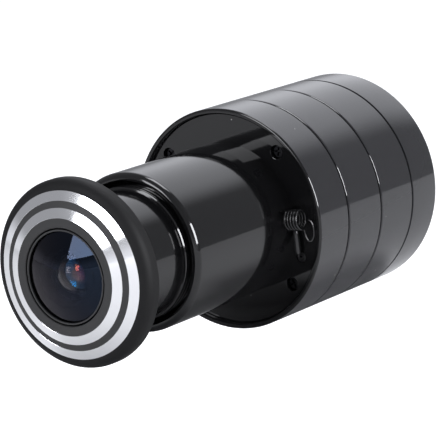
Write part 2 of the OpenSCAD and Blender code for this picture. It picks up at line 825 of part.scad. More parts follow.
module power_tongue() {
    color("#1a1a1c") on_axis() translate([0, -socket_drop, 0])
        block(tongue_w, tongue_t, socket_end + tongue_sink, socket_floor);
}

module reset_switch() {
    color("#4a4b4f") on_axis() translate([0, button_rise, 0]) {
        block(switch_w, switch_d, io_back - switch_h, io_back);
        rod(switch_dome_d / 2, switch_top, io_back - switch_h);
    }
}

module reset_button() {
    color("#2b2c2f") on_axis() translate([0, button_rise, 0]) {
        rod(button_r, button_face, collar_back);
        rod(button_collar_d / 2, collar_back, collar_front);
    }
}

// Rear cover

module rear_cover() {
    groove_top = shell_end + seal_from + seal_d + seal_room;
    groove_r = spigot_r - seal_d - seat_gap;
    color("#17181a") on_axis() difference() {
        union() {
            turned(concat(
                [[0, back_z]],
                arc([body_r - cover_round, back_z + cover_round], cover_round, -90, 0),
                [[body_r, cover_front], [body_r - groove_depth, cover_front]],
                [[body_r - groove_depth, shell_end]],
                [[spigot_r, shell_end], [spigot_r, shell_end + seal_from], [groove_r, shell_end + seal_from]],
                [[groove_r, groove_top], [spigot_r, groove_top], [spigot_r, shell_end + spigot_len]],
                [[cover_bore_r, shell_end + spigot_len], [cover_bore_r, cover_floor], [0, cover_floor]]));
            for (s = [-1, 1]) translate([s * post_x, 0, 0]) rod(post_r, cover_floor, io_back);
        }
        for (s = [-1, 1]) translate([s * post_x, 0, 0])
            rod(io_pilot_r, io_front - io_screw_len - seat_gap, io_back + cut_past);
        translate([0, -socket_drop, back_z - cut_past]) linear_extrude(cover_t + 2 * cut_past)
            socket_outline(socket_gap);
        translate([0, button_rise, 0]) rod(button_r + seat_gap, back_z - cut_past, cover_floor + cut_past);
    }
}

module seal_ring() {
    color("#0c0c0d") on_axis() translate([0, 0, shell_end + seal_from + (seal_d + seal_room) / 2])
        rotate_extrude() translate([spigot_r - seal_d / 2, 0]) circle(d = seal_d);
}

// Antenna on the front plate: one wire swept along its own points

function unit(v) = v / norm(v);

lead_points = concat(
    [[lead_x, -lead_drop, lead_foot], [lead_x, -lead_drop, plate_back]],
    [for (i = [0 : bend_steps]) let (a = 180 - 90 * i / bend_steps)
        [lead_x, -lead_drop + bend_r + bend_r * cos(a), lead_z - bend_r + bend_r * sin(a)]]);
curl_points = [for (i = [0 : coil_turns * rings_per_curl]) let (a = i * 360 / rings_per_curl - 90)
    [lead_x + coil_pitch * i / rings_per_curl, coil_rise + coil_r * cos(a), coil_z + coil_r * sin(a)]];
drop_points = [for (i = [0 : bend_steps]) let (a = 90 * i / bend_steps)
    [coil_end_x, coil_end_y - bend_r + bend_r * cos(a), eye_drop_z - bend_r * sin(a)]];
eye_points = [for (i = [1 : eye_steps]) let (a = 180 + eye_sweep * i / eye_steps)
    [coil_end_x + eye_rx + eye_rx * cos(a), eye_y + eye_ry * sin(a), eye_z]];
wire_points = concat(lead_points, curl_points, drop_points, eye_points);
wire_count = len(wire_points);
wire_tangents = [for (i = [0 : wire_count - 1])
    unit(wire_points[min(i + 1, wire_count - 1)] - wire_points[max(i - 1, 0)])];
wire_normals = [for (i = 0, n = [1, 0, 0];
    i < wire_count;
    i = i + 1, n = i < wire_count ? square_to(n, wire_tangents[i]) : n) square_to(n, wire_tangents[i])];

function square_to(n, t) = unit(n - (n * t) * t);

function step(i) = i + 1 < wire_count ? norm(wire_points[i + 1] - wire_points[i]) : 0;

function run(i, so_far) = i >= wire_count ? [] : concat([so_far], run(i + 1, so_far + step(i)));

wire_run = run(0, 0);
wire_gaps = [for (i = [0 : wire_count - 1]) for (j = [i + 1 : wire_count - 1])
    if (wire_run[j] - wire_run[i] > far_run) norm(wire_points[j] - wire_points[i]) - wire_d];
echo(least_gap_of_the_coil_to_itself = min(wire_gaps));

module antenna_coil() {
    points = [for (i = [0 : wire_count - 1]) for (j = [0 : wire_sides - 1])
        let (a = j * 360 / wire_sides, t = wire_tangents[i], n = wire_normals[i])
        wire_points[i] + wire_r * (cos(a) * n + sin(a) * cross(t, n))];
    top = (wire_count - 1) * wire_sides;
    walls = [for (i = [0 : wire_count - 2]) for (j = [0 : wire_sides - 1])
        let (a = i * wire_sides + j, b = i * wire_sides + (j + 1) % wire_sides)
        each [[a, a + wire_sides, b + wire_sides], [a, b + wire_sides, b]]];
    ends = [for (j = [1 : wire_sides - 2]) each [[0, j, j + 1], [top, top + j + 1, top + j]]];
    color("#141416") on_axis() polyhedron(points, concat(walls, ends));
}

module antenna_shrink() {
    color("#1d1d20") on_axis() translate([lead_x, -lead_drop + bend_r + seat_gap, lead_z]) rotate([-90, 0, 0])
        difference() {
            rod(shrink_d / 2, 0, shrink_len);
            rod(wire_hole_r, -1, shrink_len + cut_past);
        }
}

module antenna_bush() {
    color("#1d1d20") on_axis() translate([lead_x, -lead_drop, 0]) difference() {
        rod(bush_d / 2, plate_back, plate_z);
        rod(wire_hole_r, plate_back - cut_past, plate_z + cut_past);
    }
}

body_shell();
front_plate();
plate_screws();
barrel_sleeve();
sleeve_nut();
front_bezel();
outer_trim_ring();
inner_trim_ring();
carrier_ring();
lens_front_glass();
lens_retaining_ring();
lens_barrel();
lens_inner_element();
lens_rear_element();
infrared_filter();
lens_carrier();
key_tube();
sensor_board();
image_sensor();
sensor_screws();
sensor_plug();
sensor_ribbon();
main_board();
board_screws();
processor();
radio_can();
ribbon_socket();
antenna_socket();
board_header();
socket_board();
socket_screws();
power_socket();
power_tongue();
reset_switch();
reset_button();
rear_cover();
seal_ring();
antenna_bush();
antenna_shrink();
antenna_coil();
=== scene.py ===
import math

import bmesh
import bpy
from mathutils import Matrix, Vector


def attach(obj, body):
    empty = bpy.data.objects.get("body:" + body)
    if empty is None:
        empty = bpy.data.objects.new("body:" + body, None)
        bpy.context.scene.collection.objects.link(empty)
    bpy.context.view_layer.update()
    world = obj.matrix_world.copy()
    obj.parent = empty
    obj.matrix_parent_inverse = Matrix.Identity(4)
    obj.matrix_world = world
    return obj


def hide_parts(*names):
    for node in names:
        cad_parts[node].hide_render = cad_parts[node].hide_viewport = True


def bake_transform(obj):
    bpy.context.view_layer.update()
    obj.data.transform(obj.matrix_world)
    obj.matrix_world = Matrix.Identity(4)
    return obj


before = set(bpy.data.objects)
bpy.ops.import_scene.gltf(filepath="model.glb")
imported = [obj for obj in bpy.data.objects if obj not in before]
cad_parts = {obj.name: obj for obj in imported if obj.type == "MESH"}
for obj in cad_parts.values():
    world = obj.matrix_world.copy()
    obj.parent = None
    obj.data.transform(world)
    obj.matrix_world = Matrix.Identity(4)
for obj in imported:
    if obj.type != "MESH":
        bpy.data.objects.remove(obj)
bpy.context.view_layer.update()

# Camera
# Stands to the right of the lens and a little above it, as the photograph was taken,
# with a long lens so that the body hardly narrows toward its back.
camera_place = (0.23450, -0.31124, 0.06592)
camera_right = Vector((0.80333, 0.58258, -0.12349))
camera_up = Vector((0.0, 0.20737, 0.97826))
camera_back = Vector((0.59553, -0.78587, 0.16659))
bpy.ops.object.select_all(action="DESELECT")
bpy.ops.object.camera_add(location=camera_place)
camera = bpy.context.object
camera.name = "camera"
camera.rotation_euler = Matrix((camera_right, camera_up, camera_back)).transposed().to_euler()
camera.data.sensor_width = 36
camera.data.lens = 202.3
camera.data.clip_start = 0.01
bpy.context.scene.camera = camera

# Body shell
# The part behind the door: an aluminium tube turned on a lathe, with a thin rim, two grooves
# round it and four columns inside for the plate's screws, under glossy black lacquer.
MM = 0.001
same_place, weld = 1e-7, 5e-7  # metres
past = 1  # how far a cutting tool reaches past a surface, in mm


def held(section, closed, near=0.07, least=0.7):
    """The section with a point close to each end of its long straight runs, which keeps the rounds' shading."""
    out = []
    count = len(section)
    for i, point in enumerate(section):
        a = Vector(point)
        out.append(a)
        if i == count - 1 and not closed:
            break
        b = Vector(section[(i + 1) % count])
        run = b - a
        if run.length > least:
            out += [a + run.normalized() * near] if a.x > 0 else []
            out += [b - run.normalized() * near] if b.x > 0 else []
    return out


def rounded(r, h, radius, start, end, steps=7):
    """Points of a round on a half section, about r and h, from one angle to another in degrees."""
    angles = [math.radians(start + (end - start) * i / steps) for i in range(steps + 1)]
    return [(r + radius * math.cos(a), h + radius * math.sin(a)) for a in angles]


def pick(test):
    """Selects the vertices of the mesh in edit mode that pass a test, and what lies between them."""
    mesh = bmesh.from_edit_mesh(bpy.context.object.data)
    for part in (mesh.faces, mesh.edges, mesh.verts):
        for item in part:
            item.select = False
    for vertex in mesh.verts:
        vertex.select = bool(test(vertex.co))
    mesh.select_flush(True)
    bmesh.update_edit_mesh(bpy.context.object.data)


def in_hand(piece):
    """Selects a piece alone, so that the next step works on it."""
    bpy.ops.object.select_all(action="DESELECT")
    piece.select_set(True)
    bpy.context.view_layer.objects.active = piece


def smoothed(piece, angle=32):
    """Shades a piece smooth, apart from edges sharper than an angle in degrees."""
    in_hand(piece)
    bpy.ops.object.shade_smooth_by_angle(angle=math.radians(angle))


def drawn(name, wire, closed=False):
    """Draws a wire through points in metres, by extruding one point along them, and leaves it in edit mode."""
    bpy.ops.object.select_all(action="DESELECT")
    bpy.ops.mesh.primitive_plane_add(size=MM)
    piece = bpy.context.object
    piece.name = piece.data.name = name
    bpy.ops.object.mode_set(mode="EDIT")
    bpy.ops.mesh.merge(type="CENTER")
    bpy.ops.transform.translate(value=wire[0])
    for here, after in zip(wire, wire[1:]):
        bpy.ops.mesh.extrude_region_move(TRANSFORM_OT_translate={"value": after - here})
    if closed:
        pick(lambda co: (co - wire[0]).length < same_place or (co - wire[-1]).length < same_place)
        bpy.ops.mesh.edge_face_add()
    bpy.ops.mesh.select_all(action="SELECT")
    return piece


def turned(name, section, steps=192):
    """Draws a half section of radius and distance in front of the rim, in mm, and spins it round the axis.
    A section that starts and ends on the axis stays open there."""
    closed = section[0][0] > 0 or section[-1][0] > 0
    piece = drawn(name, [Vector((r * MM, -h * MM, 0)) for r, h in held(section, closed)], closed)
    bpy.ops.mesh.spin(steps=steps, angle=2 * math.pi, center=(0, 0, 0), axis=(0, 1, 0))
    bpy.ops.mesh.select_all(action="SELECT")
    bpy.ops.mesh.remove_doubles(threshold=weld)
    bpy.ops.mesh.normals_make_consistent(inside=False)
    bpy.ops.object.mode_set(mode="OBJECT")
    smoothed(piece)
    return piece


def rod(name, radius, start, end, x=0.0, z=0.0, sides=48):
    """A rod along the axis, between two distances in front of the rim, in mm, to add to a piece or cut it."""
    bpy.ops.object.select_all(action="DESELECT")
    bpy.ops.mesh.primitive_cylinder_add(
        vertices=sides, radius=radius * MM, depth=(end - start) * MM,
        location=(x * MM, -(start + end) / 2 * MM, z * MM), rotation=(math.pi / 2, 0, 0))
    piece = bpy.context.object
    piece.name = name
    bpy.ops.object.transform_apply(location=True, rotation=True, scale=True)
    return piece


def block(name, x, z, start, end, at_x=0.0, at_z=0.0):
    """A block along the axis, centred across, between two distances in front of the rim, in mm."""
    bpy.ops.object.select_all(action="DESELECT")
    bpy.ops.mesh.primitive_cube_add(size=1, location=(at_x * MM, -(start + end) / 2 * MM, at_z * MM))
    piece = bpy.context.object
    piece.name = name
    piece.scale = (x * MM, (end - start) * MM, z * MM)
    bpy.ops.object.transform_apply(location=True, rotation=True, scale=True)
    return piece


def with_tool(piece, tool, operation):
    """Adds a tool's solid to a piece, or cuts it out, and puts the tool away."""
    in_hand(piece)
    bpy.ops.object.modifier_add(type="BOOLEAN")
    change = piece.modifiers[-1]
    change.operation = operation
    change.solver = "EXACT"
    change.object = tool
    bpy.ops.object.modifier_apply(modifier=change.name)
    bpy.data.objects.remove(tool)
    return piece


def fill(socket, value):
    """Links a node's output to a socket, or sets the socket to a constant."""
    if isinstance(value, bpy.types.NodeSocket):
        socket.id_data.links.new(value, socket)
    else:
        socket.default_value = value


def adder(tree):
    """A function that adds nodes to a tree, with their settings and the values of their inputs."""
    def add(kind, settings=None, **values):
        node = tree.nodes.new(kind)
        for key, value in (settings or {}).items():
            setattr(node, key, value)
        for key, value in values.items():
            fill(node.inputs[key.replace("_", " ")], value)
        return node

    return add


def finish_start(name):
    """A new material with its shader, and functions that add nodes and link them."""
    material = bpy.data.materials.new(name)
    material.use_nodes = True
    shader = material.node_tree.nodes["Principled BSDF"]
    add = adder(material.node_tree)
    place = add("ShaderNodeTexCoord").outputs["Object"]

    def link(output, name):
        fill(shader.inputs[name], output)

    return material, shader, place, add, link


def noise(add, place, scale, detail):
    """An uneven value that changes from place to place."""
    return add("ShaderNodeTexNoise", Vector=place, Scale=scale, Detail=detail).outputs["Fac"]


def bumped(add, height, strength, distance=0.00002):
    """The surface's direction, roughened by a height in metres."""
    return add("ShaderNodeBump", Height=height, Strength=strength, Distance=distance).outputs["Normal"]


def spread(add, value, low, high, start=0.3, end=0.7, kind="LINEAR"):
    """A value's range from start to end taken to the range from low to high."""
    node = add("ShaderNodeMapRange", {"interpolation_type": kind}, Value=value,
               From_Min=start, From_Max=end, To_Min=low, To_Max=high)
    return node.outputs["Result"]


def combined(add, operation, first, second):
    """The result of a sum, a product or a comparison of two values."""
    node = add("ShaderNodeMath", {"operation": operation})
    fill(node.inputs[0], first)
    fill(node.inputs[1], second)
    return node.outputs[0]


def between(add, share, first, second):
    """A colour between two others, by a share from 0 to 1."""
    node = add("ShaderNodeMix", {"data_type": "RGBA"})
    fill(node.inputs[0], share)
    for socket, colour in ((node.inputs[6], first), (node.inputs[7], second)):
        fill(socket, colour if isinstance(colour, bpy.types.NodeSocket) else (*colour, 1))
    return node.outputs[2]


def black_lacquer(name, tone, rough=(0.05, 0.10), dust=0.82, speck_r=0.045):
    """Glossy black lacquer: a faint orange peel, hazy patches from handling and a few specks of dust."""
    material, shader, place, add, link = finish_start(name)
    haze = noise(add, place, 140.0, 5.0)
    peel = noise(add, place, 1500.0, 2.0)
    cells = add("ShaderNodeTexVoronoi", Vector=place, Scale=330.0, Randomness=1.0)
    near = combined(add, "LESS_THAN", cells.outputs["Distance"], speck_r)
    chance = add("ShaderNodeSeparateColor", Color=cells.outputs["Color"]).outputs["Red"]
    speck = combined(add, "MULTIPLY", near, combined(add, "GREATER_THAN", chance, dust))
    link(combined(add, "MAXIMUM", spread(add, haze, *rough), speck), "Roughness")
    link(between(add, speck, (tone, tone, tone * 1.1), (0.3, 0.3, 0.29)), "Base Color")
    link(bumped(add, peel, 0.05), "Normal")
    shader.inputs["IOR"].default_value = 1.5
    return material


def on_body(piece, body, slot, material, *nodes):
    """Gives a piece its material and the body it moves with, and hides the CAD nodes it stands for. The slot is
    not used.
    """
    piece.data.materials.clear()
    piece.data.materials.append(material)
    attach(piece, body)
    if nodes:
        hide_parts(*nodes)
    return piece


def second_finish(piece, material, test):
    """Gives the faces that pass a test, by their middle's radius and distance in mm, another finish."""
    piece.data.materials.append(material)
    for face in piece.data.polygons:
        x, y, z = face.center / MM
        if test(math.hypot(x, z), -y, face.normal):
            face.material_index = len(piece.data.materials) - 1


def turned_groove(r, at, width=0.4, depth=0.35, ease=0.09):
    """A groove round a cylinder, with its edges eased, from its rear edge to its front edge."""
    rear, front = -at - width / 2, -at + width / 2
    return [(r, rear - 2.2 * ease), (r - ease, rear), (r - depth, rear), (r - depth, front), (r - ease, front),
            (r, front + ease)]


body_r, bore_r, lip_r = 18, 16.2, 17.1
shell_back, plate_back = -27.3, -3.9
rear_groove, front_groove = 17.85, 8.2
rim_round = 0.35
screw_r = 15
column_r, column_end = 1.7, -16
pilot_r = 0.7
shell_section = (
    [(bore_r, shell_back), (body_r - 0.1, shell_back), (body_r, shell_back + 0.1)]
    + turned_groove(body_r, rear_groove) + turned_groove(body_r, front_groove)
    + rounded(body_r - rim_round, -rim_round, rim_round, 0, 90)
    + [(lip_r + 0.2, 0), (lip_r, -0.2), (lip_r, plate_back), (bore_r, plate_back)])
body_shell = turned("shell", shell_section, steps=256)
screw_places = [(screw_r * math.cos(math.radians(a)), screw_r * math.sin(math.radians(a)))
                for a in (45, 135, 225, 315)]
for x, z in screw_places:
    with_tool(body_shell, rod("column", column_r, column_end, plate_back, x, z), "UNION")
    with_tool(body_shell, rod("pilot", pilot_r, column_end - past, plate_back + past, x, z, 24), "DIFFERENCE")
smoothed(body_shell)
on_body(body_shell, "housing", "gloss_black_metal", black_lacquer("body_lacquer", 0.029), "body_shell")
# Painted shade: the rim's front faces get a far darker copy of the body's lacquer.
second_finish(body_shell, black_lacquer("rim_lacquer_painted_shade", 0.004), lambda r, h, normal: h > -0.3)

# Front plate
# A turned disc that closes the front of the shell, sunk 0.9 mm below the rim and lacquered like it.
# Four screws hold it. Their holes have a small chamfer, and a fifth hole takes the antenna's lead.
plate_face = -0.9
plate_r, plate_hole_r, plate_ease = 17.05, 12.05, 0.08
hole_r, hole_chamfer, head_seat = 1.1, 0.07, -2.6
lead_x, lead_up, lead_hole_r = 12.98, -6.2, 0.85
on_face, on_edge = 1e-6, 0.02
flat_shading = 12
front_plate = turned("plate", [
    (plate_hole_r, plate_back), (plate_r, plate_back), (plate_r, plate_face - plate_ease),
    (plate_r - plate_ease, plate_face), (plate_hole_r, plate_face)], steps=256)
for x, z in screw_places:
    with_tool(front_plate, rod("head_hole", hole_r, head_seat, plate_face + past, x, z), "DIFFERENCE")
    shank_hole = rod("shank_hole", pilot_r, plate_back - past, head_seat + 0.6, x, z, 24)
    with_tool(front_plate, shank_hole, "DIFFERENCE")
lead_hole = rod("lead_hole", lead_hole_r, plate_back - past, plate_face + past, lead_x, lead_up, 32)
with_tool(front_plate, lead_hole, "DIFFERENCE")


def facets_joined(piece, flat=0.3):
    """Joins the flat facets that cutting leaves, so that edges break evenly, and stays in edit mode."""
    in_hand(piece)
    bpy.ops.object.mode_set(mode="EDIT")
    bpy.ops.mesh.select_all(action="SELECT")
    bpy.ops.mesh.dissolve_limited(angle_limit=math.radians(flat))


def edges_broken(width, loop_slide=True):
    """Rounds off the edges that are picked, by a width in mm, and leaves edit mode."""
    bpy.ops.mesh.bevel(offset=width * MM, segments=2, affect="EDGES", loop_slide=loop_slide)
    bpy.ops.object.mode_set(mode="OBJECT")


facets_joined(front_plate)
pick(lambda co: abs(co.y + plate_face * MM) < on_face and any(
    abs(math.hypot(co.x / MM - x, co.z / MM - z) - hole_r) < on_edge for x, z in screw_places))
edges_broken(hole_chamfer, loop_slide=False)
smoothed(front_plate, flat_shading)
plate_lacquer = black_lacquer("plate_lacquer", 0.004, rough=(0.03, 0.07), dust=0.7)
on_body(front_plate, "housing", "gloss_black_metal", plate_lacquer, "front_plate")

# Plate screws
# Small cheese-head screws of blackened steel with a cross recess, sunk in the plate's holes.
# One is turned and cut, and the others are copies turned to other angles.
head_top, screw_end = -1.5, -9
head_r, head_round = 1, 0.14
shank_r, shank_ease = 0.65, 0.2
recess_w, recess_span, recess_depth = 0.32, 1.4, 0.5
screw_turns = (12, 51, 33, 70)


def worked_metal(name, colour, rough):
    """Bare, plated or blackened metal: fine scratches, and patches where the finish is thin or rubbed."""
    material, shader, place, add, link = finish_start(name)
    patches = noise(add, place, 700.0, 6.0)
    scratches = noise(add, place, 5200.0, 3.0)
    link(between(add, patches, colour, tuple(min(1, c * 1.5) for c in colour)), "Base Color")
    link(spread(add, patches, *rough), "Roughness")
    link(bumped(add, scratches, 0.12), "Normal")
    shader.inputs["Metallic"].default_value = 1.0
    return material


screw_steel = worked_metal("screw_steel", (0.018, 0.018, 0.02), (0.25, 0.42))
first_screw = turned("plate_screw_1", (
    [(0, screw_end), (shank_r - shank_ease, screw_end), (shank_r, screw_end + shank_ease)]
    + [(shank_r, head_seat), (head_r, head_seat)]
    + rounded(head_r - head_round, head_top - head_round, head_round, 0, 90) + [(0, head_top)]), steps=48)
for width, height in ((recess_w, recess_span), (recess_span, recess_w)):
    recess = block("recess", width, height, head_top - recess_depth, head_top + past)
    with_tool(first_screw, recess, "DIFFERENCE")
smoothed(first_screw)


def copied(piece, name):
    """A copy of a piece with a mesh of its own."""
    in_hand(piece)
    bpy.ops.object.duplicate(linked=False)
    bpy.context.object.name = bpy.context.object.data.name = name
    return bpy.context.object


def moved(piece, x=0.0, h=0.0, up=0.0, turn=(0, 0, 0)):
    """Puts a finished piece in its place, in mm, and applies it to the mesh."""
    piece.rotation_euler = turn
    piece.location = (x * MM, -h * MM, up * MM)
    in_hand(piece)
    bpy.ops.object.transform_apply(location=True, rotation=True, scale=True)
    return piece


plate_screws = [first_screw] + [copied(first_screw, f"plate_screw_{number}") for number in (2, 3, 4)]
for screw, (x, z), angle in zip(plate_screws, screw_places, screw_turns):
    moved(screw, x, 0, z, (0, math.radians(angle), 0))
    on_body(screw, "housing", "dark_steel", screw_steel, "plate_screws")

# Barrel sleeve
# The tube that passes through the door, turned from aluminium and lacquered. Its tail goes through
# the plate and is held by a ring nut; its mouth takes the bezel's thread, and two keyways run inside.
sleeve_r, sleeve_bore_r, sleeve_end = 12.5, 10.55, 24.9
tail_r, tail_end = 12, -6.1
foot_r, foot_end = 12.3, 4
mouth_r, mouth_round, mouth_floor = 11.3, 1.0, 23.3
keyway_span, keyway_w, keyway_end = 22.5, 3.1, 18
sleeve_section = (
    [(sleeve_bore_r, tail_end), (tail_r, tail_end), (tail_r, plate_face), (foot_r, plate_face)]
    + [(sleeve_r, foot_end)]
    + rounded(sleeve_r - mouth_round, sleeve_end - mouth_round, mouth_round, 0, 90, 12)
    + [(mouth_r + 0.1, sleeve_end), (mouth_r, sleeve_end - 0.1), (mouth_r, mouth_floor)]
    + [(sleeve_bore_r, mouth_floor - (mouth_r - sleeve_bore_r))])
barrel_sleeve = turned("sleeve", sleeve_section, steps=256)
with_tool(barrel_sleeve, block("keyways", keyway_span, keyway_w, tail_end - past, keyway_end), "DIFFERENCE")
smoothed(barrel_sleeve)
on_body(barrel_sleeve, "housing", "gloss_black_metal", black_lacquer("sleeve_lacquer", 0.006), "barrel_sleeve")

# Sleeve nut
# A thin ring nut of bare turned aluminium on the sleeve's tail, tightened against the back of the plate.


def finished(node, material):
    """Gives a CAD node that stays as it is its finish."""
    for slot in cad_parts[node].material_slots:
        slot.material = material


bare_aluminium = worked_metal("bare_aluminium", (0.55, 0.56, 0.58), (0.24, 0.4))
finished("sleeve_nut", bare_aluminium)

# Antenna
# Lacquered spring wire for the radio: its lead comes out of the plate through a bush and runs up under a
# shrink tube, then winds into a small coil and ends in a slanted eye. It is wound from one length.
wire_r = 0.15
lead_end, lead_h, bend_r = -15.4, -0.2, 0.6
coil_r, coil_length, coil_turns = 1.5, 2.55, 4.75
coil_up, coil_h = 0.2, 1.3
coil_end = lead_x + coil_length
drop_r = 0.3
drop_up = coil_up - coil_r - drop_r
eye_half_w, eye_half_up, eye_slant = 0.6, 1.7, 0.4
tube_length, tube_top = 3.8, -1.75
bush_r, bush_ease = 0.8, 0.15


def moulded_plastic(name, colour, rough, grain=4200.0, depth=0.25):
    """Moulded plastic or rubber: an even spark-eroded grain, with slight changes of colour and shine."""
    material, shader, place, add, link = finish_start(name)
    patches = noise(add, place, 220.0, 4.0)
    pits = noise(add, place, grain, 2.0)
    link(between(add, patches, colour, tuple(min(1, c * 1.35) for c in colour)), "Base Color")
    link(spread(add, patches, *rough), "Roughness")
    link(bumped(add, pits, depth), "Normal")
    return material


def along(start, end, steps):
    """Angles in radians from one number of degrees to another."""
    return [math.radians(start + (end - start) * i / steps) for i in range(steps + 1)]


lead = [(lead_x, lead_up, lead_end), (lead_x, lead_up, -3)]
lead += [(lead_x, lead_up + bend_r - bend_r * math.cos(a), lead_h - bend_r + bend_r * math.sin(a))
         for a in along(0, 90, 8)]
lead += [(lead_x, up, lead_h) for up in (-4.5, -3, -1.5)]
coil = [(lead_x + coil_length * (a + math.pi / 2) / (2 * math.pi * coil_turns), coil_up + coil_r * math.cos(a),
         coil_h + coil_r * math.sin(a)) for a in along(-90, -90 + 360 * coil_turns, 160)]
drop = [(coil_end, drop_up + drop_r * math.cos(a), coil_h - drop_r * math.sin(a)) for a in along(0, 90, 8)[1:]]
eye = [(coil_end + eye_half_w + eye_half_w * math.cos(a), drop_up + eye_half_up * math.sin(a),
        coil_h - drop_r - eye_slant - eye_slant * math.cos(a)) for a in along(180, 445, 32)[1:]]
antenna = drawn("antenna", [Vector((x * MM, -h * MM, up * MM)) for x, up, h in lead + coil + drop + eye])
bpy.ops.object.mode_set(mode="OBJECT")
bpy.ops.object.convert(target="CURVE")
antenna = bpy.context.object
antenna.data.bevel_depth = wire_r * MM
antenna.data.bevel_resolution = 4
antenna.data.use_fill_caps = True
bpy.ops.object.convert(target="MESH")
antenna = bpy.context.object
antenna.name = antenna.data.name = "antenna"
smoothed(antenna, 40)
wire_lacquer = black_lacquer("wire_lacquer", 0.008, rough=(0.16, 0.3), dust=0.97)
on_body(antenna, "housing", "coated_wire", wire_lacquer, "antenna_coil")
tube_end = [(0.19, 0), (0.34, 0), (0.42, 0.08), (0.47, 0.3), (0.5, 0.6)]
tube_section = tube_end + [(r, tube_length - h) for r, h in tube_end[::-1]]
shrink_tube = turned("shrink_tube", tube_section, steps=40)
moved(shrink_tube, lead_x, lead_h, tube_top, (math.pi / 2, 0, 0))
shrink_plastic = moulded_plastic("shrink_plastic", (0.012, 0.012, 0.013), (0.12, 0.2), 2600.0, 0.1)
on_body(shrink_tube, "housing", "black_plastic", shrink_plastic, "antenna_shrink")
bush_section = [
    (wire_r, plate_back), (bush_r, plate_back), (bush_r, plate_face - bush_ease),
    (bush_r - bush_ease, plate_face), (wire_r + bush_ease, plate_face), (wire_r, plate_face - bush_ease)]
bush = moved(turned("lead_bush", bush_section, steps=40), lead_x, 0, lead_up)
bush_plastic = moulded_plastic("bush_plastic", (0.006, 0.006, 0.0065), (0.3, 0.4))
on_body(bush, "housing", "black_plastic", bush_plastic, "antenna_bush")

# Main board
# A round glass-fibre board on the shell's columns, with the processor, the radio under its soldered can,
# the ribbon and antenna sockets and a header to the socket board. Two screws hold it.


def solder_mask(name):
    """A green board: copper tracks under the mask, rows of tinned pads and a glossy, slightly wavy surface."""
    material, shader, place, add, link = finish_start(name)
    upright = add("ShaderNodeMapping", Vector=place, Rotation=(math.pi / 2, 0, 0)).outputs[0]
    tracks = add("ShaderNodeTexBrick", {"offset": 0.37, "squash": 1.6}, Vector=upright, Scale=620.0,
                 Mortar_Size=0.06).outputs["Fac"]
    pads = add("ShaderNodeTexVoronoi", Vector=place, Scale=850.0)
    tinned = spread(add, pads.outputs["Distance"], 1.0, 0.0, 0.14, 0.18)
    mask = between(add, tracks, (0.012, 0.10, 0.045), (0.02, 0.17, 0.075))
    link(between(add, tinned, mask, (0.55, 0.54, 0.5)), "Base Color")
    link(tinned, "Metallic")
    link(spread(add, noise(add, place, 500.0, 3.0), 0.22, 0.4), "Roughness")
    link(bumped(add, tracks, 0.3, 0.00003), "Normal")
    return material


green_board = solder_mask("green_board")
chip_plastic = moulded_plastic("chip_plastic", (0.022, 0.022, 0.026), (0.5, 0.68), 6000.0)
pale_plastic = moulded_plastic("pale_plastic", (0.62, 0.58, 0.49), (0.4, 0.55))
black_plastic = moulded_plastic("black_plastic", (0.018, 0.018, 0.02), (0.42, 0.58))
tinned_steel = worked_metal("tinned_steel", (0.6, 0.61, 0.63), (0.22, 0.38))
contact_brass = worked_metal("contact_brass", (0.7, 0.5, 0.19), (0.2, 0.36))
dark_screws = worked_metal("dark_screws", (0.12, 0.12, 0.13), (0.28, 0.45))
finished("main_board", green_board)
finished("board_screws", dark_screws)
finished("processor", chip_plastic)
finished("radio_can", tinned_steel)
finished("ribbon_socket", pale_plastic)
finished("antenna_socket", contact_brass)
finished("board_header", black_plastic)

# Front bezel
# The flanged tube that screws into the sleeve from outside the door: turned aluminium, satin black
# anodised, with a coned face, two grooves for the trim rings and a cut thread on its rear part.
thread_pitch = 0.75
thread_root, thread_crest = 10.13, 10.5
thread_from, thread_to = 9, 25.5
bezel_r, bezel_bore_r, bezel_floor = 10.1, 9, 36.4
flange_back, back_round, flange_round = 36.8, 0.3, 1.6
cone_r, cone_h = 12.8, 39.7
flat_r, face_h = 8.9, 41.1
window_r = 7.43
trim_w = 0.375 * (cone_r - flat_r)
trim_depth, trim_edge = 0.8, 0.02
outer_seat, inner_seat = cone_r - trim_w, flat_r + trim_w
seat_ease, face_ease, window_ease = 0.04, 0.05, 0.1


def on_cone(r):
    """The distance of the coned face in front of the rim, at a radius."""
    return cone_h + (face_h - cone_h) * (cone_r - r) / (cone_r - flat_r)


def thread_form(name, run_out=0.3):
    """One pitch of the thread, screwed along the axis past both ends and cut off there."""
    form = [(thread_root, 0), (thread_root, 0.12), (thread_crest - 0.03, 0.22), (thread_crest, 0.25),
            (thread_crest - 0.1, 0.47), (thread_root, 0.58), (thread_root, thread_pitch)]
    first = thread_from - 2 * thread_pitch
    piece = drawn(name, [Vector((r * MM, -(first + h) * MM, 0)) for r, h in form])
    bpy.ops.object.mode_set(mode="OBJECT")
    bpy.ops.object.modifier_add(type="SCREW")
    screw = piece.modifiers[-1]
    screw.axis = "Y"
    screw.angle = -2 * math.pi
    screw.screw_offset = -thread_pitch * MM
    screw.iterations = int((thread_to - thread_from) / thread_pitch) + 4
    screw.steps = screw.render_steps = 96
    bpy.ops.object.modifier_apply(modifier=screw.name)
    bpy.ops.object.mode_set(mode="EDIT")
    bpy.ops.mesh.select_all(action="SELECT")
    bpy.ops.mesh.remove_doubles(threshold=4 * weld)
    for at, way in ((thread_from - run_out, 1), (thread_to + run_out, -1)):
        bpy.ops.mesh.select_all(action="SELECT")
        bpy.ops.mesh.bisect(plane_co=(0, -at * MM, 0), plane_no=(0, way, 0), use_fill=True, clear_outer=True)
    bpy.ops.mesh.select_all(action="SELECT")
    bpy.ops.mesh.normals_make_consistent(inside=False)
    bpy.ops.object.mode_set(mode="OBJECT")
    return piece


